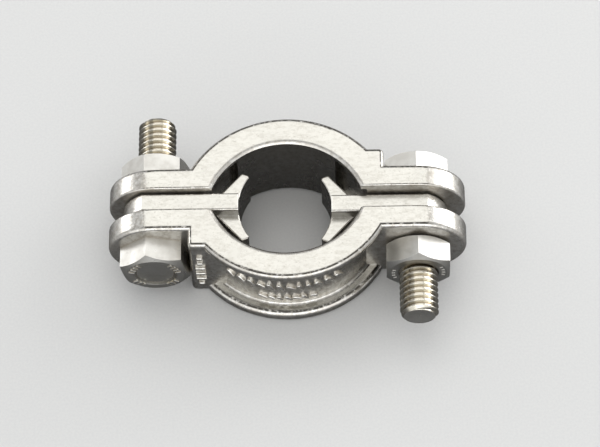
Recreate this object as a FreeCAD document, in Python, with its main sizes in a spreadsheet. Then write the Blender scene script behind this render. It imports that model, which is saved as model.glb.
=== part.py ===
import FreeCAD, Part
import math
import os
import Sketcher

# Two-bolt pipe repair clamp. X runs along the lugs, Y along the bolts and Z up the pipe.
# The origin is the centre of the pipe opening at half height. Lengths are in millimetres.

V = FreeCAD.Vector
doc = FreeCAD.newDocument("pipe_repair_clamp")
sheet = doc.addObject("Spreadsheet::Sheet", "dims")

DIMENSIONS = [
    # ring of each half
    ("ring_height", 20.2),
    ("bore_radius", 16.6),
    ("flange_radius", 22.55),
    ("web_radius", 19.75),
    ("flange_thickness", 2.8),
    ("arc_offset", 6.3),
    ("half_gap", 2.3),
    ("seat_face", 7.15),
    ("shoulder_side", 20.1),
    ("shoulder_front", 11.1),
    ("bolt_offset", 26.9),
    ("lug_hole", 9.0),
    ("relief_start", 10.1),
    ("relief_end", 16.6),
    ("relief_radius", 18.2),
    ("relief_lip", 1.6),
    ("cast_round", 1.0),
    ("mating_round", 0.45),
    ("bore_break", 0.55),
    ("groove_round", 1.3),
    ("web_fillet", 0.8),
    # saddle
    ("plate_thickness", 4.0),
    ("plate_half_width", 7.7),
    ("plate_start", 9.6),
    ("plate_end_centre", 24.6),
    ("plate_end_radius", 9.1),
    ("plate_hole", 9.8),
    ("plate_round", 0.5),
    ("wing_half_width", 5.2),
    ("wing_face_radius", 11.6),
    ("wing_tip_inner", 7.15),
    ("wing_tip_outer_across", 9.0),
    ("wing_tip_outer_along", 7.85),
    ("wing_root", 14.2),
    ("wing_tip_round", 0.6),
    ("wing_round", 0.35),
    # fasteners
    ("across_flats", 13.0),
    ("head_height", 5.3),
    ("nut_height", 5.7),
    ("chamfer_circle", 5.95),
    ("dish_radius", 4.6),
    ("dish_depth", 0.4),
    ("bolt_length", 30.0),
    ("crest_radius", 3.97),
    ("root_radius", 3.27),
    ("pitch", 1.25),
    ("groove_floor", 0.31),
    ("flank_slope", 0.557),
    ("thread_start", 1.25),
    ("tip_radius", 3.2),
    ("nut_clearance", 0.09),
    ("nut_standoff", 0.03),
    ("left_bolt_shift", 0.4),
    ("left_head_turn", -102.0),
    ("right_head_turn", 90.0),
    ("left_nut_turn", -5.5),
    ("right_nut_turn", 0.0),
    # loose play of the saddles on their bolts
    ("left_saddle_rise", 0.8),
    ("left_saddle_shift", 0.3),
    ("right_saddle_drop", 0.7),
    ("right_saddle_shift", 0.35),
]

for row, (name, value) in enumerate(DIMENSIONS, start=1):
    sheet.set("A%d" % row, name)
    sheet.set("B%d" % row, str(value))
    sheet.setAlias("B%d" % row, name)
doc.recompute()


def number(text):
    """Value of an expression over the sheet."""
    return float(sheet.evalExpression(text))


def new_body(label):
    body = doc.addObject("PartDesign::Body", label)
    body.Label = label
    return body


def origin_plane(body, role):
    for feature in body.Origin.OriginFeatures:
        if feature.Role == role:
            return feature


def new_sketch(body, name, role):
    sketch = body.newObject("Sketcher::SketchObject", body.Name + "_" + name)
    sketch.AttachmentSupport = [(origin_plane(body, role), "")]
    sketch.MapMode = "FlatFace"
    return sketch


def pin(sketch, index, place, across, along):
    """Holds one end of a line or arc at a position given by two expressions."""
    for kind, text, tag in (("DistanceX", across, "x"), ("DistanceY", along, "y")):
        value = number(text)
        if abs(value) < 1e-9:
            axis = -2 if kind == "DistanceX" else -1
            sketch.addConstraint(Sketcher.Constraint("PointOnObject", index, place, axis))
            continue
        row = sketch.addConstraint(Sketcher.Constraint(kind, -1, 1, index, place, value))
        label = "p%d%s" % (index, tag)
        sketch.renameConstraint(row, label)
        sketch.setExpression("Constraints." + label, text)


def outline(body, name, role, points, arcs=None):
    """Closed outline. points are pairs of expressions; arcs maps the number of a side to
    (radius, across and along of a point the arc passes through) and, for a half circle,
    the across position of its centre, all expressions."""
    arcs = arcs or {}
    sketch = new_sketch(body, name, role)
    corners = [V(number(a), number(b), 0) for a, b in points]
    count = len(corners)
    ends = []
    for index in range(count):
        first = corners[index]
        last = corners[(index + 1) % count]
        if index not in arcs:
            sketch.addGeometry(Part.LineSegment(first, last), False)
            ends.append((1, 2))
            continue
        middle = V(number(arcs[index][1]), number(arcs[index][2]), 0)
        left_hand = (middle - first).cross(last - middle).z > 0
        start, stop = (first, last) if left_hand else (last, first)
        centre = Part.Arc(first, middle, last).toShape().Curve.Center
        low = math.atan2(start.y - centre.y, start.x - centre.x)
        high = math.atan2(stop.y - centre.y, stop.x - centre.x)
        if high < low:
            high += 2 * math.pi
        circle = Part.Circle(centre, V(0, 0, 1), centre.distanceToPoint(first))
        sketch.addGeometry(Part.ArcOfCircle(circle, low, high), False)
        ends.append((1, 2) if left_hand else (2, 1))
    for index in range(count):
        pin(sketch, index, ends[index][0], points[index][0], points[index][1])
    for index in range(count):
        following = (index + 1) % count
        sketch.addConstraint(Sketcher.Constraint(
            "Coincident", index, ends[index][1], following, ends[following][0]))
    for index in arcs:
        if len(arcs[index]) == 4:
            across = arcs[index][3]
            row = sketch.addConstraint(
                Sketcher.Constraint("DistanceX", -1, 1, index, 3, number(across)))
            sketch.renameConstraint(row, "c%d" % index)
            sketch.setExpression("Constraints.c%d" % index, across)
            continue
        radius = arcs[index][0]
        row = sketch.addConstraint(Sketcher.Constraint("Radius", index, number(radius)))
        sketch.renameConstraint(row, "r%d" % index)
        sketch.setExpression("Constraints.r%d" % index, radius)
    return sketch


def circles(body, name, role, items):
    """Circles given as (across, along, radius) expressions."""
    sketch = new_sketch(body, name, role)
    for index, (across, along, radius) in enumerate(items):
        centre = V(number(across), number(along), 0)
        sketch.addGeometry(Part.Circle(centre, V(0, 0, 1), number(radius)), False)
        pin(sketch, index, 3, across, along)
        row = sketch.addConstraint(Sketcher.Constraint("Radius", index, number(radius)))
        sketch.renameConstraint(row, "r%d" % index)
        sketch.setExpression("Constraints.r%d" % index, radius)
    return sketch


def pad(body, sketch, length, both_ways=True):
    feature = body.newObject("PartDesign::Pad", sketch.Name + "_pad")
    feature.Profile = sketch
    feature.setExpression("Length", length)
    feature.Midplane = both_ways
    doc.recompute()
    return feature


def pocket(body, sketch, length=None):
    """Cut through everything, or a cut of the given total depth, equal on both sides."""
    before = body.Shape.Volume
    feature = body.newObject("PartDesign::Pocket", sketch.Name + "_cut")
    feature.Profile = sketch
    feature.Midplane = True
    if length is None:
        feature.Type = "ThroughAll"
    else:
        feature.setExpression("Length", length)
    doc.recompute()
    if feature.Shape.Volume > before - 1e-3:
        raise RuntimeError(feature.Name + " removed nothing")
    return feature


def groove(body, sketch):
    before = body.Shape.Volume
    feature = body.newObject("PartDesign::Groove", sketch.Name + "_turned")
    feature.Profile = sketch
    feature.ReferenceAxis = (sketch, ["V_Axis"])
    feature.Angle = 360
    doc.recompute()
    if feature.Shape.Volume > before - 1e-4:
        raise RuntimeError(feature.Name + " removed nothing")
    return feature


def screw_cut(body, sketch, turns_length):
    before = body.Shape.Volume
    feature = body.newObject("PartDesign::SubtractiveHelix", sketch.Name + "_screw")
    feature.Profile = sketch
    feature.ReferenceAxis = (sketch, ["V_Axis"])
    feature.Mode = 0
    feature.setExpression("Pitch", "dims.pitch")
    feature.setExpression("Height", turns_length)
    feature.Angle = 0
    feature.Growth = 0
    doc.recompute()
    if feature.Shape.Volume > before - 1:
        raise RuntimeError(feature.Name + " removed nothing")
    return feature


def soften(body, name, kind, radius, chosen):
    """Rounds (Fillet) or breaks (Chamfer) the edges for which chosen(edge) is true."""
    base = body.Tip
    names = []
    for index, edge in enumerate(base.Shape.Edges, start=1):
        if chosen(edge):
            names.append("Edge%d" % index)
    if not names:
        raise RuntimeError(name + " found no edges")
    feature = body.newObject("PartDesign::" + kind, body.Name + "_" + name)
    feature.Base = (base, names)
    target = "Radius" if kind == "Fillet" else "Size"
    feature.setExpression(target, radius)
    doc.recompute()
    if "Invalid" in feature.State or feature.Shape.isNull() or not feature.Shape.isValid():
        raise RuntimeError("%s failed on %d edges" % (feature.Name, len(names)))
    return feature


def all_at(edge, axis, value, tolerance=0.01):
    """True if the whole edge lies in the plane axis = value."""
    box = edge.BoundBox
    low = getattr(box, axis + "Min")
    high = getattr(box, axis + "Max")
    return abs(low - value) < tolerance and abs(high - value) < tolerance


def has_radius(edge, radius):
    if edge.Degenerated:
        return False
    return hasattr(edge.Curve, "Radius") and abs(edge.Curve.Radius - radius) < 1e-3


# ---------------------------------------------------------------- clamp halves

ARC_CENTRE = "(dims.arc_offset - dims.half_gap)"
TOP = "(dims.ring_height / 2)"
LUG_END = "(dims.bolt_offset + dims.ring_height / 2)"
BORE_CORNER = "sqrt(dims.bore_radius ^ 2 - dims.arc_offset ^ 2)"


def on_circle(radius, along):
    """Distance from the YZ plane of a point of the arc with that radius at y = -along."""
    return "sqrt(%s ^ 2 - (%s + %s) ^ 2)" % (radius, along, ARC_CENTRE)


def clamp_half(label):
    """Half ring with a lug at each end and an anti-turn shoulder beside the left lug."""
    body = new_body(label)
    seat = "(-dims.seat_face)"
    mate = "(-dims.half_gap)"
    front = "(-dims.shoulder_front)"
    side = "(-dims.shoulder_side)"
    points = [
        (BORE_CORNER, mate),
        (LUG_END, mate),
        (LUG_END, seat),
        (on_circle("dims.flange_radius", "dims.seat_face"), seat),
        ("-" + on_circle("dims.flange_radius", "dims.shoulder_front"), front),
        (side, front),
        (side, seat),
        ("-" + LUG_END, seat),
        ("-" + LUG_END, mate),
        ("-" + BORE_CORNER, mate),
    ]
    arcs = {
        3: ("dims.flange_radius", "0", "%s - dims.flange_radius" % ARC_CENTRE),
        9: ("dims.bore_radius", "0", "%s - dims.bore_radius" % ARC_CENTRE),
    }
    pad(body, outline(body, "plan", "XY_Plane", points, arcs), "dims.ring_height")

    # lug ends: full rounds about the bolt axes
    for sign, tag in (("", "right"), ("-", "left")):
        axis = sign + "dims.bolt_offset"
        clear = sign + "(%s + 2)" % LUG_END
        points = [
            (axis, TOP),
            (axis, TOP + " + 2"),
            (clear, TOP + " + 2"),
            (clear, "-%s - 2" % TOP),
            (axis, "-%s - 2" % TOP),
            (axis, "-" + TOP),
        ]
        arcs = {5: (TOP, sign + LUG_END, "0", axis)}
        pocket(body, outline(body, tag + "_end", "XZ_Plane", points, arcs))

    # channel between the two flanges, running out on flat floors at both ends
    left = "-" + on_circle("dims.web_radius", "dims.shoulder_front")
    right = on_circle("dims.web_radius", "dims.seat_face")
    wide = "dims.flange_radius + 2"
    points = [
        (left, front),
        ("-(%s)" % wide, front),
        ("-(%s)" % wide, "-(%s)" % wide),
        (wide, "-(%s)" % wide),
        (wide, seat),
        (right, seat),
    ]
    arcs = {5: ("dims.web_radius", "0", "%s - dims.web_radius" % ARC_CENTRE)}
    channel = outline(body, "channel", "XY_Plane", points, arcs)
    pocket(body, channel, "dims.ring_height - 2 * dims.flange_thickness")

    # shallow recesses in the bore wall that take the saddle wings, closed above and below
    near = on_circle("dims.relief_radius", "0")
    for sign, tag in (("", "right"), ("-", "left")):
        start = sign + "dims.relief_start"
        end = sign + "dims.relief_end"
        deep = "%s - sqrt(dims.relief_radius ^ 2 - dims.relief_start ^ 2)" % ARC_CENTRE
        shallow = "%s - sqrt(dims.relief_radius ^ 2 - dims.relief_end ^ 2)" % ARC_CENTRE
        points = [(start, "1"), (start, deep), (end, shallow), (end, "1")]
        halfway = sign + "(dims.relief_start + dims.relief_end) / 2"
        bulge = ("%s - sqrt(dims.relief_radius ^ 2 - "
                 "((dims.relief_start + dims.relief_end) / 2) ^ 2)" % ARC_CENTRE)
        arcs = {1: ("dims.relief_radius", halfway, bulge)}
        recess = outline(body, tag + "_recess", "XY_Plane", points, arcs)
        pocket(body, recess, "dims.ring_height - 2 * dims.relief_lip")

    holes = [
        ("dims.bolt_offset", "0", "dims.lug_hole / 2"),
        ("-dims.bolt_offset", "0", "dims.lug_hole / 2"),
    ]
    pocket(body, circles(body, "holes", "XZ_Plane", holes))

    # cast edges
    top = number(TOP)
    seat_y = -number("dims.seat_face")
    mate_y = -number("dims.half_gap")
    front_y = -number("dims.shoulder_front")
    flange = number("dims.flange_radius")
    bore = number("dims.bore_radius")
    side_x = number("dims.shoulder_side")
    hole = number("dims.lug_hole / 2")

    def upright_shoulder(edge):
        return (all_at(edge, "X", -side_x) and all_at(edge, "Y", front_y)
                and edge.BoundBox.ZLength > 1)

    def bore_rim(edge):
        flat = all_at(edge, "Z", top) or all_at(edge, "Z", -top)
        return flat and has_radius(edge, bore)

    soften(body, "bore_edges", "Chamfer", "dims.bore_break", bore_rim)

    soften(body, "shoulder_edge", "Fillet", "dims.cast_round", upright_shoulder)

    def outer_rim(edge):
        box = edge.BoundBox
        flat = all_at(edge, "Z", top) or all_at(edge, "Z", -top)
        if flat and box.YMin < seat_y + 0.01:
            return not has_radius(edge, bore)
        lug_arc = all_at(edge, "Y", seat_y) and has_radius(edge, top)
        return lug_arc

    soften(body, "outer_edges", "Fillet", "dims.cast_round", outer_rim)

    def mating_rim(edge):
        if not all_at(edge, "Y", mate_y):
            return False
        if has_radius(edge, hole):
            return False
        flat = all_at(edge, "Z", top) or all_at(edge, "Z", -top)
        return flat or has_radius(edge, top)

    soften(body, "mating_edges", "Fillet", "dims.mating_round", mating_rim)

    half_channel = number("dims.ring_height / 2 - dims.flange_thickness")

    def flange_inner_rim(edge):
        flat = all_at(edge, "Z", half_channel) or all_at(edge, "Z", -half_channel)
        return flat and has_radius(edge, flange)

    soften(body, "flange_edges", "Fillet", "dims.groove_round", flange_inner_rim)

    web = number("dims.web_radius")

    def web_corner(edge):
        flat = all_at(edge, "Z", half_channel) or all_at(edge, "Z", -half_channel)
        return flat and has_radius(edge, web)

    soften(body, "web_corners", "Fillet", "dims.web_fillet", web_corner)
    return body


front_half = clamp_half("clamp_half_front")
rear_half = clamp_half("clamp_half_rear")
rear_half.Placement = FreeCAD.Placement(V(0, 0, 0), FreeCAD.Rotation(V(0, 0, 1), 180))

# ---------------------------------------------------------------- saddles


def saddle(label):
    """Plate with a bolt hole, and two curved wings at its inner end that hold the pipe."""
    body = new_body(label)
    half = "(dims.plate_thickness / 2)"

    # wings: the inner face is one arc that is hollow towards the pipe
    inner_across = ("dims.plate_start - dims.wing_face_radius + "
                    "sqrt(dims.wing_face_radius ^ 2 - dims.wing_tip_inner ^ 2)")
    points = [
        (inner_across, "-dims.wing_tip_inner"),
        ("dims.wing_tip_outer_across", "-dims.wing_tip_outer_along"),
        ("dims.wing_root", "-" + half),
        ("dims.wing_root", half),
        ("dims.wing_tip_outer_across", "dims.wing_tip_outer_along"),
        (inner_across, "dims.wing_tip_inner"),
    ]
    arcs = {5: ("dims.wing_face_radius", "dims.plate_start", "0")}
    pad(body, outline(body, "wings", "XY_Plane", points, arcs), "2 * dims.wing_half_width")

    tip_in = number("dims.wing_tip_inner")
    tip_out = number("dims.wing_tip_outer_along")
    wing = number("dims.wing_half_width")

    def wing_tip(edge):
        box = edge.BoundBox
        upright = box.ZLength > 2 * wing - 0.1 and box.YLength < 0.01
        reach = abs(box.YMin)
        return upright and (abs(reach - tip_in) < 0.01 or abs(reach - tip_out) < 0.01)

    soften(body, "tips", "Fillet", "dims.wing_tip_round", wing_tip)

    def wing_rim(edge):
        return all_at(edge, "Z", wing) or all_at(edge, "Z", -wing)

    soften(body, "wing_edges", "Fillet", "dims.wing_round", wing_rim)

    # plate with a rounded outer end and the bolt hole
    end = "(dims.plate_end_centre + dims.plate_end_radius)"
    width = "dims.plate_half_width"
    meets = "dims.plate_end_centre + sqrt(dims.plate_end_radius ^ 2 - dims.plate_half_width ^ 2)"
    points = [
        ("dims.plate_start", "-" + width),
        (meets, "-" + width),
        (meets, width),
        ("dims.plate_start", width),
    ]
    arcs = {1: ("dims.plate_end_radius", end, "0")}
    pad(body, outline(body, "plate", "XZ_Plane", points, arcs), "dims.plate_thickness")
    hole = [("dims.bolt_offset", "0", "dims.plate_hole / 2")]
    pocket(body, circles(body, "hole", "XZ_Plane", hole))

    plate_y = number(half)
    plate_z = number(width)
    round_end = number("dims.plate_end_radius")

    def plate_rim(edge):
        if not (all_at(edge, "Y", plate_y) or all_at(edge, "Y", -plate_y)):
            return False
        level = all_at(edge, "Z", plate_z) or all_at(edge, "Z", -plate_z)
        return level or has_radius(edge, round_end)

    soften(body, "plate_edges", "Fillet", "dims.plate_round", plate_rim)
    return body


right_saddle = saddle("right_saddle")
right_saddle.Placement = FreeCAD.Placement(
    V(-number("dims.right_saddle_shift"), 0, -number("dims.right_saddle_drop")),
    FreeCAD.Rotation())
left_saddle = saddle("left_saddle")
left_saddle.Placement = FreeCAD.Placement(
    V(-number("dims.left_saddle_shift"), 0, number("dims.left_saddle_rise")),
    FreeCAD.Rotation(V(0, 0, 1), 180))

# ---------------------------------------------------------------- bolts and nuts


def hexagon(body, name):
    """Hexagon about the origin with a corner on the X axis."""
    reach = "dims.across_flats / sqrt(3)"
    flat = "dims.across_flats / 2"
    points = [
        (reach, "0"),
        (reach + " / 2", flat),
        ("-" + reach + " / 2", flat),
        ("-" + reach, "0"),
        ("-" + reach + " / 2", "-" + flat),
        (reach + " / 2", "-" + flat),
    ]
    return outline(body, name, "XY_Plane", points)


def corner_cut(body, name, face, away):
    """Removes the hexagon's corners with a 30 degree cone. face is the height of the end
    face; away is + or - for the side on which the cone lies outside the solid."""
    rise = "(2 * tan(30 deg))"
    back = "-" if away == "+" else "+"
    points = [
        ("dims.chamfer_circle", face),
        ("dims.chamfer_circle + 2", "%s %s %s" % (face, back, rise)),
        ("dims.chamfer_circle + 2", "%s %s 1" % (face, away)),
        ("dims.chamfer_circle", "%s %s 1" % (face, away)),
    ]
    return groove(body, outline(body, name, "XZ_Plane", points))


def bolt(label):
    """Hexagon-head bolt threaded to the head. The head's seat is z = 0, the shank runs to +Z."""
    body = new_body(label)
    head = hexagon(body, "head")
    feature = pad(body, head, "dims.head_height", False)
    feature.Reversed = True
    doc.recompute()
    shank = circles(body, "shank", "XY_Plane", [("0", "0", "dims.crest_radius")])
    pad(body, shank, "dims.bolt_length", False)
    corner_cut(body, "head_corners", "-dims.head_height", "-")

    # shallow dish in the head's top, and a smaller one in the shank's end
    dish = [
        ("0", "-dims.head_height - 0.5"),
        ("dims.dish_radius", "-dims.head_height - 0.5"),
        ("dims.dish_radius", "-dims.head_height"),
        ("dims.dish_radius - 2 * dims.dish_depth", "-dims.head_height + dims.dish_depth"),
        ("0", "-dims.head_height + dims.dish_depth"),
    ]
    groove(body, outline(body, "head_dish", "XZ_Plane", dish))
    length = "dims.bolt_length"
    cup = [
        ("0", length + " + 0.5"),
        ("dims.tip_radius - 0.5", length + " + 0.5"),
        ("dims.tip_radius - 0.5", length),
        ("0", length + " - dims.dish_depth"),
    ]
    groove(body, outline(body, "end_cup", "XZ_Plane", cup))

    cone = [
        ("dims.tip_radius", length),
        ("dims.tip_radius", length + " + 0.5"),
        ("dims.crest_radius + 0.5", length + " + 0.5"),
        ("dims.crest_radius + 0.5", length + " - (dims.crest_radius + 0.5 - dims.tip_radius)"),
    ]
    groove(body, outline(body, "end_bevel", "XZ_Plane", cone))

    # right-hand thread groove
    beyond = "(dims.crest_radius + 0.08)"
    half_floor = "dims.groove_floor / 2"
    half_mouth = "(%s + (%s - dims.root_radius) * dims.flank_slope)" % (half_floor, beyond)
    points = [
        ("dims.root_radius", "dims.thread_start - " + half_floor),
        (beyond, "dims.thread_start - " + half_mouth),
        (beyond, "dims.thread_start + " + half_mouth),
        ("dims.root_radius", "dims.thread_start + " + half_floor),
    ]
    screw_cut(body, outline(body, "thread", "XZ_Plane", points), length)
    return body


def nut(label, turn):
    """Hexagon nut with its seat on z = 0. turn is its angle from the bolt's hexagon; the
    thread's phase follows from it, so that the nut's ridges lie in the bolt's grooves."""
    body = new_body(label)
    pad(body, hexagon(body, "block"), "dims.nut_height", False)
    inner = "(dims.root_radius + dims.nut_clearance)"
    outer = "(dims.crest_radius + dims.nut_clearance)"
    bore = circles(body, "bore", "XY_Plane", [("0", "0", inner)])
    pocket(body, bore)
    corner_cut(body, "outer_corners", "dims.nut_height", "+")
    corner_cut(body, "seat_corners", "0", "-")

    # countersinks
    for tag, face, step, out in (("outer", "dims.nut_height", "-", "+"), ("seat", "0", "+", "-")):
        points = [
            ("0", "%s %s 0.5" % (face, out)),
            (outer + " + 0.2", "%s %s 0.5" % (face, out)),
            (outer + " + 0.2", face),
            ("%s - 0.1" % inner, "%s %s 0.9" % (face, step)),
            ("0", "%s %s 0.9" % (face, step)),
        ]
        groove(body, outline(body, tag + "_sink", "XZ_Plane", points))

    start = ("(dims.thread_start + dims.pitch / 2 - 2 * dims.seat_face - dims.nut_standoff"
             " + dims.pitch * %s / 360 + 9 * dims.pitch)" % turn)
    ridge = "(dims.pitch - dims.groove_floor) / 2"
    half_root = "(%s + 0.08 + 0.07 * dims.flank_slope)" % ridge
    half_crest = "(%s + 0.08 - (%s - dims.root_radius) * dims.flank_slope)" % (ridge, outer)
    points = [
        ("dims.root_radius - 0.07", "%s - %s" % (start, half_root)),
        (outer, "%s - %s" % (start, half_crest)),
        (outer, "%s + %s" % (start, half_crest)),
        ("dims.root_radius - 0.07", "%s + %s" % (start, half_root)),
    ]
    thread = outline(body, "thread", "XZ_Plane", points)
    screw_cut(body, thread, "dims.nut_height + 3 * dims.pitch")
    return body


# the left bolt's head sits on the front half and its shank runs to +Y;
# the right bolt's head sits on the rear half and its shank runs to -Y
seat = number("dims.seat_face")
offset = number("dims.bolt_offset")
left_axis = -offset - number("dims.left_bolt_shift")
to_rear = FreeCAD.Rotation(V(1, 0, 0), -90)
to_front = FreeCAD.Rotation(V(1, 0, 0), 90)
nut_level = 2 * seat + number("dims.nut_standoff")


def place(body, across, along, aim, turn):
    roll = FreeCAD.Rotation(V(0, 0, 1), turn)
    body.Placement = FreeCAD.Placement(V(across, along, 0), aim.multiply(roll))


left_turn = number("dims.left_head_turn")
right_turn = number("dims.right_head_turn")
left_bolt = bolt("left_bolt")
place(left_bolt, left_axis, -seat, to_rear, left_turn)
right_bolt = bolt("right_bolt")
place(right_bolt, offset, seat, to_front, right_turn)
left_nut = nut("left_nut", "dims.left_nut_turn")
place(left_nut, left_axis, -seat + nut_level, to_rear, left_turn + number("dims.left_nut_turn"))
right_nut = nut("right_nut", "dims.right_nut_turn")
place(right_nut, offset, seat - nut_level, to_front, right_turn + number("dims.right_nut_turn"))

# ---------------------------------------------------------------- checks and files

doc.recompute()
PIECES = [
    front_half,
    rear_half,
    left_saddle,
    right_saddle,
    left_bolt,
    right_bolt,
    left_nut,
    right_nut,
]
for item in doc.Objects:
    if "Invalid" in item.State or "Error" in item.State:
        raise RuntimeError("%s: %s" % (item.Name, item.State))
for piece in PIECES:
    if piece.Shape.isNull() or not piece.Shape.isValid() or len(piece.Shape.Solids) != 1:
        raise RuntimeError(piece.Label + " is not one valid solid")

os.makedirs("parts", exist_ok=True)
for piece in PIECES:
    piece.Shape.exportStep("parts/%s.step" % piece.Label)
    print(piece.Label, round(piece.Shape.Volume, 1))
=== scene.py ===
import math
import random

import bpy
from mathutils import Matrix, Vector


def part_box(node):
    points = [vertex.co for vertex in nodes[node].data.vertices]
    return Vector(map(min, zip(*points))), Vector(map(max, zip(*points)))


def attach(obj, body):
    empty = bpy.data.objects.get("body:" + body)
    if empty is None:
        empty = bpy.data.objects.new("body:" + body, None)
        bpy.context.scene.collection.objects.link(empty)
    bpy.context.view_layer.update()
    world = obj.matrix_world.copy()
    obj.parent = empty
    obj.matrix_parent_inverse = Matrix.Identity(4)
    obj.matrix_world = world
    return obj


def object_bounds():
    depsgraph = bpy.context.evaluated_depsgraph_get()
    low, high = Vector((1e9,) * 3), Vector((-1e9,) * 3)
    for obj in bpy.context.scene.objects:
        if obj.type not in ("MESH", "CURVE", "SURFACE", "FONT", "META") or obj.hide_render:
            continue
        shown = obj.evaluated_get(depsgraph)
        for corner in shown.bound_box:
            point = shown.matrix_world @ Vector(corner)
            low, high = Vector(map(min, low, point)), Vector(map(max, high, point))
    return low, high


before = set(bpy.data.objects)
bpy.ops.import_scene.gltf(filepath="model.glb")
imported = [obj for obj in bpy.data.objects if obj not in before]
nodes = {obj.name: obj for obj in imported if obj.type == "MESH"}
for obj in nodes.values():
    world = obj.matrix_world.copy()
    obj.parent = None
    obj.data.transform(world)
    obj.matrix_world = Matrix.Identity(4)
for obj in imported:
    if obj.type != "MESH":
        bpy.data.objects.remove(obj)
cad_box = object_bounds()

MM = 0.001
scene = bpy.context.scene

# sockets of Blender's Mix node
MIX_FIRST_NUMBER, MIX_SECOND_NUMBER = 2, 3
MIX_FIRST_COLOUR, MIX_SECOND_COLOUR = 6, 7
MIX_COLOUR_OUT = 2


def middle_x(node):
    """Where the middle of a CAD node's box stands along X, in millimetres."""
    lowest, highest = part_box(node)
    return (lowest.x + highest.x) / 2 / MM


def front_face(node):
    """How far a CAD node's front stands from the middle of the clamp, in millimetres."""
    return -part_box(node)[0].y / MM


# sizes of the CAD part, in millimetres
LEFT_BOLT_X = middle_x("left_bolt")
RIGHT_BOLT_X = middle_x("right_bolt")
MEAN_BOLT_X = (RIGHT_BOLT_X - LEFT_BOLT_X) / 2
HEAD_FACE = front_face("left_bolt")
NUT_FACE = front_face("right_nut")
WEB_RADIUS = 19.75
ARC_OFFSET = 4.0
SHOULDER_FACE = 11.1

# where a change of finish starts and where it ends, in millimetres
THREAD_RADIUS = (4.2, 4.6)
BORE_RADIUS = (14.9, 15.6)
BORE_RIM_RADIUS = (16.8, 17.6)
LUG_END_X = (27.2, 28.0)

# colours of the metal where it is clean, dull, blotched, pitted or scratched, and of the
# painted shade and painted highlights laid on it
GROUND_BRIGHT = (0.597, 0.586, 0.548)
GROUND_DULL = (0.515, 0.500, 0.460)
CAST_BRIGHT = (0.82, 0.80, 0.76)
CAST_DULL = (0.60, 0.57, 0.52)
CAST_BLOTCH = (0.55, 0.50, 0.43)
CAST_PIT = (0.20, 0.175, 0.145)
CAST_HOLLOW_SHADE = (0.20, 0.175, 0.14)
CAST_RIM_HIGHLIGHT = (0.95, 0.94, 0.91)
CAST_EDGE_SHADE = (0.06, 0.052, 0.042)
BORE_SHADE = (0.30, 0.29, 0.27)
THREAD_BRIGHT = (0.60, 0.57, 0.495)
THREAD_DULL = (0.48, 0.45, 0.385)
THREAD_ROOT_SHADE = (0.30, 0.235, 0.145)
HEAD_BRIGHT = (0.68, 0.667, 0.632)
HEAD_DULL = (0.585, 0.568, 0.53)
BOLT_EDGE_HIGHLIGHT = (0.97, 0.955, 0.92)
BOLT_SCRATCH = (0.42, 0.40, 0.37)
NUT_BRIGHT = (0.64, 0.63, 0.60)
NUT_DULL = (0.54, 0.525, 0.49)
NUT_EDGE_HIGHLIGHT = (0.96, 0.955, 0.94)
NUT_HOLLOW_SHADE = (0.22, 0.19, 0.15)
NUT_NICK = (0.40, 0.39, 0.37)


def scaled(values, factor):
    """The same tuple with every value times factor."""
    return tuple(value * factor for value in values)


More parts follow.
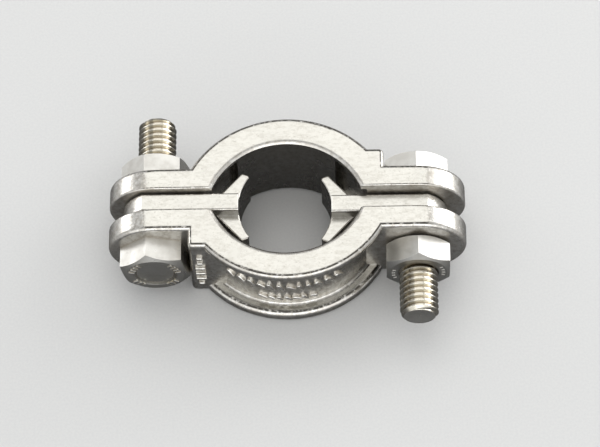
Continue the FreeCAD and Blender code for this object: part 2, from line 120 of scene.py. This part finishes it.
# ------------------------------------------------------------------ node helpers
class Graph:
    """Small wrapper for building a material's node tree."""

    def __init__(self, name):
        self.material = bpy.data.materials.new(name)
        self.material.use_nodes = True
        self.tree = self.material.node_tree
        self.tree.nodes.clear()
        self.out = self.tree.nodes.new("ShaderNodeOutputMaterial")
        coords = self.tree.nodes.new("ShaderNodeTexCoord")
        self.where = coords.outputs["Object"]

    def put(self, socket, value):
        """Links another node's output to a socket, or sets the socket's own value."""
        if isinstance(value, bpy.types.NodeSocket):
            self.tree.links.new(value, socket)
        elif isinstance(value, tuple) and len(value) == 3 and socket.type == "RGBA":
            socket.default_value = value + (1.0,)
        else:
            socket.default_value = value

    def node(self, kind, settings=None, **inputs):
        """A new node. Inputs are named as in Blender, with _ for a space."""
        made = self.tree.nodes.new(kind)
        for key, value in (settings or {}).items():
            setattr(made, key, value)
        for key, value in inputs.items():
            self.put(made.inputs[key.replace("_", " ")], value)
        return made

    def noise(self, size_mm, detail=3.0, rough=0.55, distort=0.0, stretch=None):
        """Noise whose features are about size_mm across."""
        source = self.where
        if stretch:
            source = self.node("ShaderNodeMapping", Vector=source,
                               Scale=stretch).outputs["Vector"]
        return self.node("ShaderNodeTexNoise", Vector=source, Scale=1 / (size_mm * MM),
                         Detail=detail, Roughness=rough, Distortion=distort).outputs["Fac"]

    def ramp(self, value, low, high, to_low=0.0, to_high=1.0):
        """Smooth step from to_low at low to to_high at high."""
        made = self.node("ShaderNodeMapRange", {"interpolation_type": "SMOOTHSTEP"})
        self.put(made.inputs["Value"], value)
        self.put(made.inputs["From Min"], low)
        self.put(made.inputs["From Max"], high)
        self.put(made.inputs["To Min"], to_low)
        self.put(made.inputs["To Max"], to_high)
        return made.outputs["Result"]

    def math(self, operation, first, second=0.0):
        made = self.node("ShaderNodeMath", {"operation": operation})
        self.put(made.inputs[0], first)
        self.put(made.inputs[1], second)
        return made.outputs[0]

    def mix(self, factor, first, second):
        """Colour that is first at factor 0 and second at factor 1."""
        made = self.node("ShaderNodeMix", {"data_type": "RGBA"})
        self.put(made.inputs["Factor"], factor)
        self.put(made.inputs[MIX_FIRST_COLOUR], first)
        self.put(made.inputs[MIX_SECOND_COLOUR], second)
        return made.outputs[MIX_COLOUR_OUT]

    def cover(self, colour, other, mask, share):
        """Colour with other laid over it where mask is 1, as strongly as share."""
        return self.mix(self.math("MULTIPLY", mask, share), colour, other)

    def add(self, value, other, share):
        """value + other * share"""
        return self.math("ADD", value, self.math("MULTIPLY", other, share))

    def bump(self, height, depth_mm, strength, normal=None):
        """Normal that shows height as relief up to depth_mm deep, over another normal."""
        made = self.node("ShaderNodeBump", Height=height, Distance=depth_mm * MM,
                         Strength=strength)
        if normal is not None:
            self.put(made.inputs["Normal"], normal)
        return made.outputs["Normal"]

    def edges(self, radius_mm):
        """1 on convex and concave edges of about that radius, 0 on open faces."""
        bevel = self.node("ShaderNodeBevel", {"samples": 4}, Radius=radius_mm * MM)
        geometry = self.node("ShaderNodeNewGeometry")
        dot = self.node("ShaderNodeVectorMath", {"operation": "DOT_PRODUCT"})
        self.put(dot.inputs[0], bevel.outputs["Normal"])
        self.put(dot.inputs[1], geometry.outputs["Normal"])
        return self.ramp(self.math("SUBTRACT", 1.0, dot.outputs["Value"]), 0.02, 0.35)

    def hollows(self, reach_mm):
        """1 deep in a channel or corner, 0 in the open."""
        shade = self.node("ShaderNodeAmbientOcclusion", {"samples": 6}, Distance=reach_mm * MM)
        return self.math("SUBTRACT", 1.0, shade.outputs["AO"])

    def facing(self, axes="XYZ"):
        """How squarely the surface faces each of the axes, from 0 to 1."""
        geometry = self.node("ShaderNodeNewGeometry")
        split = self.node("ShaderNodeSeparateXYZ", Vector=geometry.outputs["Normal"])
        return [self.math("ABSOLUTE", split.outputs[axis]) for axis in axes]

    def reach(self, first, second):
        """Distance from the axis that two coordinates are measured from."""
        return self.math("SQRT", self.math("ADD", self.math("POWER", first, 2.0),
                                           self.math("POWER", second, 2.0)))

    def place(self, axes):
        """Where the point stands along each of the axes, at rest, in metres."""
        split = self.node("ShaderNodeSeparateXYZ", Vector=self.where)
        return [split.outputs[axis] for axis in axes]

    def beyond(self, value, limits, to_low=0.0, to_high=1.0):
        """Smooth step between two distances given in millimetres."""
        return self.ramp(value, limits[0] * MM, limits[1] * MM, to_low, to_high)

    def band(self, value, start, full, fade, end):
        """0 outside start..end, 1 between full and fade."""
        return self.math("MULTIPLY", self.ramp(value, start, full),
                         self.ramp(value, fade, end, 1.0, 0.0))

    def metal(self, colour, roughness, normal):
        """Ends the tree with a metal surface and gives back the material."""
        shader = self.node("ShaderNodeBsdfPrincipled", Base_Color=colour, Metallic=1.0,
                           Roughness=roughness, Normal=normal)
        self.tree.links.new(shader.outputs[0], self.out.inputs["Surface"])
        return self.material


def cast_steel(name, tone=1.0, grain=1.0, shade_strength=1.0):
    """Investment casting: flat faces ground nearly smooth, shell grain on every other
    face, painted shade as a dark broken line where the two meet, rims lightened as a painted
    highlight, painted brown shade in hollows and painted shade in the bore. Tone scales the
    clean colours, grain the shell's depth and the last number the painted shade."""
    g = Graph(name)
    across, along, upward = g.facing()
    ground = g.ramp(upward, 0.965, 0.992)
    mating = g.ramp(along, 0.90, 0.98)
    fine = g.noise(0.38, 3.0, 0.6)
    coarse = g.noise(0.95)
    waves = g.noise(3.6, 2.0, 0.5)
    blotch = g.noise(8.0, 3.0, 0.6, distort=0.4)
    streak = g.noise(0.75, 4.0, 0.65, stretch=(0.5, 1.0, 1.0))

    flat_colour = g.mix(g.ramp(streak, 0.40, 0.70), scaled(GROUND_BRIGHT, tone),
                        scaled(GROUND_DULL, tone))
    side_colour = g.mix(g.ramp(coarse, 0.35, 0.7), scaled(CAST_BRIGHT, tone),
                        scaled(CAST_DULL, tone))
    side_colour = g.cover(side_colour, CAST_BLOTCH, g.ramp(blotch, 0.45, 0.7), 0.35)
    colour = g.mix(ground, side_colour, flat_colour)

    colour = g.cover(colour, CAST_PIT, g.ramp(fine, 0.60, 0.70),
                     g.ramp(upward, 0.5, 1.0, 0.55, 0.30))
    # painted shade: hollows darkened to a patchy brown
    hollow = g.ramp(g.hollows(3.0), 0.34, 0.88)
    hollow_shade = g.math("MULTIPLY", hollow, g.ramp(g.noise(1.4), 0.30, 0.65, 0.35, 1.0))
    colour = g.cover(colour, CAST_HOLLOW_SHADE, hollow_shade, 0.55 * shade_strength)
    # painted highlight: rims lightened nearly to white, in broken patches
    rim_highlight = g.math("MULTIPLY", g.edges(0.60), g.ramp(g.noise(0.9), 0.28, 0.58, 0.5, 1.0))
    colour = g.cover(colour, CAST_RIM_HIGHLIGHT, rim_highlight, 0.85)

    # painted shade: a dark broken line where the flat faces turn down, fainter round the lug
    # ends and at the edge of the bore
    x, y = g.place("XY")
    reach = g.reach(x, y)
    lug_end = g.math("MULTIPLY", g.ramp(across, 0.15, 0.30),
                     g.beyond(g.math("ABSOLUTE", x), LUG_END_X))
    edge_shade = g.math("MULTIPLY", g.band(upward, 0.80, 0.86, 0.962, 0.988),
                  g.ramp(g.noise(0.6, 3.0, 0.6), 0.34, 0.50))
    edge_shade = g.math("MULTIPLY", edge_shade, g.ramp(lug_end, 0.0, 1.0, 1.0, 0.22))
    edge_shade = g.math("MULTIPLY", edge_shade, g.beyond(reach, BORE_RIM_RADIUS, 0.28, 1.0))
    colour = g.cover(colour, CAST_EDGE_SHADE, edge_shade, 0.92 * shade_strength)

    bore = g.math("MULTIPLY", g.beyond(reach, BORE_RADIUS, 1.0, 0.0),
                  g.ramp(upward, 0.3, 0.6, 1.0, 0.0))
    colour = g.cover(colour, BORE_SHADE, bore, 0.45 * shade_strength)

    rough = g.ramp(blotch, 0.3, 0.7, 0.22, 0.31)
    for mask, share in ((ground, -0.03), (hollow_shade, 0.2), (mating, 0.05), (rim_highlight, -0.07)):
        rough = g.add(rough, mask, share)

    normal = g.bump(waves, 0.09, 0.30)
    grit = g.add(g.math("MULTIPLY", fine, 0.55), coarse, 0.8)
    strength = g.add(g.ramp(ground, 0.0, 1.0, 0.45, 0.14), mating, 0.3)
    strength = g.math("MULTIPLY", strength, g.ramp(bore, 0.0, 1.0, 1.0, 0.15))
    normal = g.bump(grit, 0.042 * grain, strength, normal)
    return g.metal(colour, rough, normal)


def bolt_steel(name):
    """Rolled and headed stainless steel: a warm thread with painted shade in its roots,
    painted highlights on its edges, and a cleaner head with less shine."""
    g = Graph(name)
    lines = g.noise(0.50, 2.0, 0.5, stretch=(1.0, 0.12, 1.0))
    cloud = g.noise(3.2, 3.0, 0.6)
    turned = g.ramp(g.facing("Y")[0], 0.93, 0.99)
    x, z = g.place("XZ")
    side = g.math("SUBTRACT", g.math("ABSOLUTE", x), MEAN_BOLT_X * MM)
    head = g.math("MAXIMUM", g.beyond(g.reach(side, z), THREAD_RADIUS), turned)

    patch = g.ramp(cloud, 0.35, 0.7)
    colour = g.mix(head, g.mix(patch, THREAD_BRIGHT, THREAD_DULL),
                   g.mix(patch, HEAD_BRIGHT, HEAD_DULL))
    # painted shade: the thread's roots and other hollows darkened brown
    colour = g.cover(colour, THREAD_ROOT_SHADE, g.ramp(g.hollows(0.9), 0.22, 0.72), 0.80)
    # painted highlight: edges lightened nearly to white
    colour = g.cover(colour, BOLT_EDGE_HIGHLIGHT, g.edges(0.22), 0.75)
    scratch = g.ramp(g.noise(0.8, 3.0, 0.5, stretch=(0.2, 1.0, 1.0)), 0.60, 0.72)
    colour = g.cover(colour, BOLT_SCRATCH, scratch, 0.22)

    rough = g.ramp(cloud, 0.3, 0.7, 0.15, 0.23)
    for mask, share in ((scratch, 0.06), (turned, 0.05), (head, 0.12)):
        rough = g.add(rough, mask, share)
    height = g.add(g.math("MULTIPLY", lines, 0.5), cloud, 0.9)
    return g.metal(colour, rough, g.bump(height, 0.010, 0.30))


def nut_steel(name):
    """Machined hexagon nut: bright flats with fine draw lines, a painted highlight on the
    corners and painted shade in the hollows.
    """
    g = Graph(name)
    lines = g.noise(0.45, 2.0, 0.5, stretch=(1.0, 0.10, 1.0))
    cloud = g.noise(2.6)
    colour = g.mix(g.ramp(cloud, 0.35, 0.7), NUT_BRIGHT, NUT_DULL)
    # painted highlight: corners lightened nearly to white
    colour = g.cover(colour, NUT_EDGE_HIGHLIGHT, g.edges(0.3), 0.7)
    # painted shade: hollows darkened brown
    colour = g.cover(colour, NUT_HOLLOW_SHADE, g.ramp(g.hollows(0.8), 0.3, 0.85), 0.75)
    colour = g.cover(colour, NUT_NICK, g.ramp(g.noise(0.6, 2.0, 0.5), 0.68, 0.76), 0.30)
    rough = g.ramp(cloud, 0.3, 0.7, 0.30, 0.40)
    height = g.add(g.math("MULTIPLY", lines, 0.5), cloud, 0.8)
    return g.metal(colour, rough, g.bump(height, 0.008, 0.30))


halves = cast_steel("cast_half")
saddles = cast_steel("cast_saddle", tone=0.98, grain=1.1)
# the marks get a lighter copy of the cast finish as a painted highlight, with little of its
# painted shade
raised = cast_steel("cast_marks", tone=1.28, grain=0.5, shade_strength=0.15)
bolts = bolt_steel("bolt")
nuts = nut_steel("nut")
FINISH = {
    "clamp_half_front": halves,
    "clamp_half_rear": halves,
    "left_saddle": saddles,
    "right_saddle": saddles,
    "left_bolt": bolts,
    "right_bolt": bolts,
    "left_nut": nuts,
    "right_nut": nuts,
}
for name, material in FINISH.items():
    mesh = nodes[name].data
    mesh.materials.clear()
    mesh.materials.append(material)

# ------------------------------------------------------------------ raised marks
# Plain dashes and ticks in place of the lettering cast and stamped on the parts. Sizes are
# in millimetres, leans in radians and tick angles in degrees.
SINK = 0.35
MARK_HEIGHT = 0.60
MARK_ROUNDING = 0.27
MARK_SEED = 11
DASH_WIDTH = 0.85
DASH_LEAN = (0.45, 1.15)
DASH_SHARE = (0.70, 1.0)
PITCH_SHARE = (0.92, 1.08)
UPPER_ROW = {"start": -11.6, "end": 11.8, "z": 0.2, "tall": 2.6, "pitch": 2.0}
LOWER_ROW = {"start": -5.2, "end": 5.8, "z": -4.5, "tall": 2.2, "pitch": 1.75}
SHOULDER_X = -17.95
SHOULDER_ROWS = 6
SHOULDER_TOP_ROW = 4.9
SHOULDER_PITCH = 2.2
SHOULDER_WIDTHS = (2.2, 2.0, 1.3)
SHOULDER_LEAN = 0.06
TICK_WIDTH = 0.50
HEAD_TICK = {"face": HEAD_FACE, "radius": 4.95, "length": 1.25, "height": 0.22}
HEAD_TICK_ROUNDING = 0.09
HEAD_ANGLES = (14, 26, 38, 50, 130, 142, 154, 166, 214, 226, 238, 302, 314, 326)
NUT_TICK = {"face": NUT_FACE, "radius": 5.15, "length": 0.75, "height": 0.12}
NUT_TICK_ROUNDING = 0.05
NUT_ANGLES = (-12, 0, 12, 24, 168, 180, 192, 204)
BLOCK_FACES = ((3, 2, 1, 0), (4, 5, 6, 7), (0, 1, 5, 4), (1, 2, 6, 5), (2, 3, 7, 6),
               (3, 0, 4, 7))


def bar(centre, across, outward, width, length, height, lean=0.0):
    """Eight corners of a low block that stands on a surface and reaches SINK into it. Lean
    turns it about the outward direction, in radians."""
    along = outward.cross(across)
    turned = across * math.cos(lean) + along * math.sin(lean)
    along = outward.cross(turned)
    corners = []
    for rise in (-SINK * MM, height * MM):
        for side, end in ((-1, -1), (1, -1), (1, 1), (-1, 1)):
            corners.append(centre * MM + turned * (side * width * MM / 2)
                           + along * (end * length * MM / 2) + outward * rise)
    return corners


def relief(name, body, material, bars, rounding):
    """One raised piece made of separate rounded blocks."""
    points = []
    faces = []
    for corners in bars:
        first = len(points)
        points.extend(corners)
        for face in BLOCK_FACES:
            faces.append([first + corner for corner in face])
    mesh = bpy.data.meshes.new(name)
    mesh.from_pydata(points, [], faces)
    mesh.polygons.foreach_set("use_smooth", [True] * len(faces))
    mesh.materials.append(material)
    piece = bpy.data.objects.new(name, mesh)
    scene.collection.objects.link(piece)
    soft = piece.modifiers.new("soft", "BEVEL")
    soft.width = rounding * MM
    soft.segments = 3
    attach(piece, body)


def web_row(draw, start, end, z, tall, pitch):
    """Slanted dashes round the outside of the channel's wall, front half."""
    marks = []
    x = start
    while x < end:
        angle = math.asin(x / WEB_RADIUS)
        outward = Vector((math.sin(angle), -math.cos(angle), 0))
        across = Vector((math.cos(angle), math.sin(angle), 0))
        foot = Vector((0, ARC_OFFSET, z)) + outward * WEB_RADIUS
        lean = draw.uniform(*DASH_LEAN)
        marks.append(bar(foot, across, outward, DASH_WIDTH, tall * draw.uniform(*DASH_SHARE),
                         MARK_HEIGHT, lean))
        x += pitch * draw.uniform(*PITCH_SHARE)
    return marks


def shoulder_column(draw):
    """Rows of short dashes down the front of the shoulder, front half."""
    outward = Vector((0, -1, 0))
    across = Vector((1, 0, 0))
    marks = []
    for row in range(SHOULDER_ROWS):
        z = SHOULDER_TOP_ROW - row * SHOULDER_PITCH
        width = draw.choice(SHOULDER_WIDTHS)
        foot = Vector((SHOULDER_X, -SHOULDER_FACE, z))
        marks.append(bar(foot, across, outward, width, DASH_WIDTH, MARK_HEIGHT,
                         draw.uniform(-SHOULDER_LEAN, SHOULDER_LEAN)))
    return marks


def half_turn(bars):
    """The same bars on the rear half, which is the front half turned about Z."""
    return [[Vector((-p.x, -p.y, p.z)) for p in corners] for corners in bars]


def face_ticks(x, facing, angles, face, radius, length, height):
    """Short radial ticks on the end face of a head or nut, which faces +1 or -1 along Y."""
    outward = Vector((0, facing, 0))
    marks = []
    for degrees in angles:
        angle = math.radians(degrees)
        radial = Vector((math.cos(angle), 0, math.sin(angle)))
        foot = Vector((x, facing * face, 0)) + radial * radius
        marks.append(bar(foot, radial, outward, length, TICK_WIDTH, height))
    return marks


draw = random.Random(MARK_SEED)
cast_marks = web_row(draw, **UPPER_ROW)
cast_marks += web_row(draw, **LOWER_ROW)
cast_marks += shoulder_column(draw)
relief("front_cast_marks", "front_half", raised, cast_marks, MARK_ROUNDING)
relief("rear_cast_marks", "rear_half", raised, half_turn(cast_marks),
       MARK_ROUNDING)
relief("left_head_marks", "front_half", bolts,
       face_ticks(LEFT_BOLT_X, -1, HEAD_ANGLES, **HEAD_TICK), HEAD_TICK_ROUNDING)
relief("right_head_marks", "rear_half", bolts,
       face_ticks(RIGHT_BOLT_X, 1, HEAD_ANGLES, **HEAD_TICK), HEAD_TICK_ROUNDING)
relief("right_nut_marks", "right_nut_body", nuts,
       face_ticks(RIGHT_BOLT_X, -1, NUT_ANGLES, **NUT_TICK), NUT_TICK_ROUNDING)

# ------------------------------------------------------------------ floor, light, camera
# the floor is pale for the camera and for light, but the metal's reflections see a painted
# reflection: a dark floor near the clamp and a lighter one further out, from the first to the
# second of MIRRORED_X in millimetres
FLOOR_REACH = 3.0
FLOOR_GAP = 0.02 * MM
FLOOR_PALE = (0.64, 0.64, 0.64)
FLOOR_PALER = (0.67, 0.67, 0.665)
MIRRORED_NEAR = (0.11, 0.11, 0.112)
MIRRORED_FAR = (0.40, 0.40, 0.40)
MIRRORED_X = (42, 75)
floor_mesh = bpy.data.meshes.new("floor")
floor_mesh.from_pydata(
    [(x * FLOOR_REACH, y * FLOOR_REACH, 0) for x, y in ((-1, -1), (1, -1), (1, 1), (-1, 1))],
    [], [(0, 1, 2, 3)])
floor = bpy.data.objects.new("floor", floor_mesh)
floor.location.z = cad_box[0].z - FLOOR_GAP
scene.collection.objects.link(floor)
g = Graph("floor")
path = g.node("ShaderNodeLightPath")
pale = g.mix(g.ramp(g.noise(0.5), 0.3, 0.7), FLOOR_PALE, FLOOR_PALER)
away = g.beyond(g.math("ABSOLUTE", g.place("X")[0]), MIRRORED_X)
mirrored = g.mix(away, MIRRORED_NEAR, MIRRORED_FAR)
seen = g.mix(path.outputs["Is Glossy Ray"], pale, mirrored)
shader = g.node("ShaderNodeBsdfPrincipled", Base_Color=seen, Roughness=0.6)
g.tree.links.new(shader.outputs[0], g.out.inputs["Surface"])
floor_mesh.materials.append(g.material)


def softbox(name, position, width, height, power, colour=(1, 1, 1)):
    """Rectangular lamp that looks at the clamp. Metres and watts."""
    data = bpy.data.lights.new(name, "AREA")
    data.shape = "RECTANGLE"
    data.size = width
    data.size_y = height
    data.energy = power
    data.color = colour
    lamp = bpy.data.objects.new(name, data)
    lamp.location = position
    lamp.rotation_mode = "QUATERNION"
    lamp.rotation_quaternion = (Vector() - lamp.location).to_track_quat("-Z", "Y")
    scene.collection.objects.link(lamp)


softbox("top_back", (0.0, 0.42, 0.81), 0.95, 0.60, 1.75, (1.0, 0.985, 0.95))
softbox("right", (0.69, 0.41, 0.40), 0.55, 0.55, 1.90)
softbox("left", (-0.86, 0.44, 0.17), 0.50, 0.44, 1.35)
softbox("right_low", (0.86, 0.44, 0.14), 0.50, 0.30, 2.00)
softbox("front", (0.10, -0.80, 0.42), 0.90, 0.16, 0.55)

# the room: even white light for the floor and the camera, and for the metal's reflections a
# studio that is brighter above the horizon and brightest in front
EVEN_LIGHT = 0.85
world = bpy.data.worlds.new("studio")
scene.world = world
world.use_nodes = True
tree = world.node_tree
tree.nodes.clear()


def sky_node(kind, **settings):
    """A new node in the world's tree."""
    made = tree.nodes.new(kind)
    for key, value in settings.items():
        setattr(made, key, value)
    return made


def sky_ramp(value, low, high, to_low, to_high):
    """Smooth step from to_low at low to to_high at high."""
    made = sky_node("ShaderNodeMapRange", interpolation_type="SMOOTHSTEP")
    tree.links.new(value, made.inputs["Value"])
    limits = {"From Min": low, "From Max": high, "To Min": to_low, "To Max": to_high}
    for name, limit in limits.items():
        made.inputs[name].default_value = limit
    return made.outputs["Result"]


coords = sky_node("ShaderNodeTexCoord")
split = sky_node("ShaderNodeSeparateXYZ")
tree.links.new(coords.outputs["Generated"], split.inputs[0])
rise = sky_ramp(split.outputs["Z"], -0.05, 0.20, 0.50, 0.68)
front = sky_ramp(split.outputs["Y"], -0.30, -0.80, 1.0, 1.9)
dome = sky_node("ShaderNodeMath", operation="MULTIPLY")
tree.links.new(rise, dome.inputs[0])
tree.links.new(front, dome.inputs[1])
path = sky_node("ShaderNodeLightPath")
level = sky_node("ShaderNodeMix", data_type="FLOAT")
tree.links.new(path.outputs["Is Glossy Ray"], level.inputs[0])
level.inputs[MIX_FIRST_NUMBER].default_value = EVEN_LIGHT
tree.links.new(dome.outputs[0], level.inputs[MIX_SECOND_NUMBER])
sky = sky_node("ShaderNodeBackground")
sky.inputs["Color"].default_value = (0.99, 1.0, 1.0, 1)
tree.links.new(level.outputs[0], sky.inputs["Strength"])
end = sky_node("ShaderNodeOutputWorld")
tree.links.new(sky.outputs[0], end.inputs["Surface"])

# the camera's direction, its distance and how far the clamp's centre stands off the middle
ELEVATION = math.radians(62.476)
YAW = math.radians(2.272)
ROLL = math.radians(-2.928)
DISTANCE = 614.3 * MM
SHIFT_RIGHT = -2.619 * MM
SHIFT_UP = 0.859 * MM
SENSOR_WIDTH = 36.0
FOCAL_LENGTH = 177.36
back = Vector((math.sin(YAW) * math.cos(ELEVATION),
               -math.cos(YAW) * math.cos(ELEVATION),
               math.sin(ELEVATION)))
right = Vector((math.cos(YAW), math.sin(YAW), 0))
up = back.cross(right)
cam_right = right * math.cos(ROLL) + up * math.sin(ROLL)
cam_up = -right * math.sin(ROLL) + up * math.cos(ROLL)
camera_data = bpy.data.cameras.new("camera")
camera_data.sensor_fit = "HORIZONTAL"
camera_data.sensor_width = SENSOR_WIDTH
camera_data.lens = FOCAL_LENGTH
camera = bpy.data.objects.new("camera", camera_data)
turn = Matrix((cam_right, cam_up, back)).transposed()
camera.matrix_world = (Matrix.Translation(
    back * DISTANCE - cam_right * SHIFT_RIGHT - cam_up * SHIFT_UP) @ turn.to_4x4())
scene.collection.objects.link(camera)
scene.camera = camera
scene.view_settings.view_transform = "Standard"
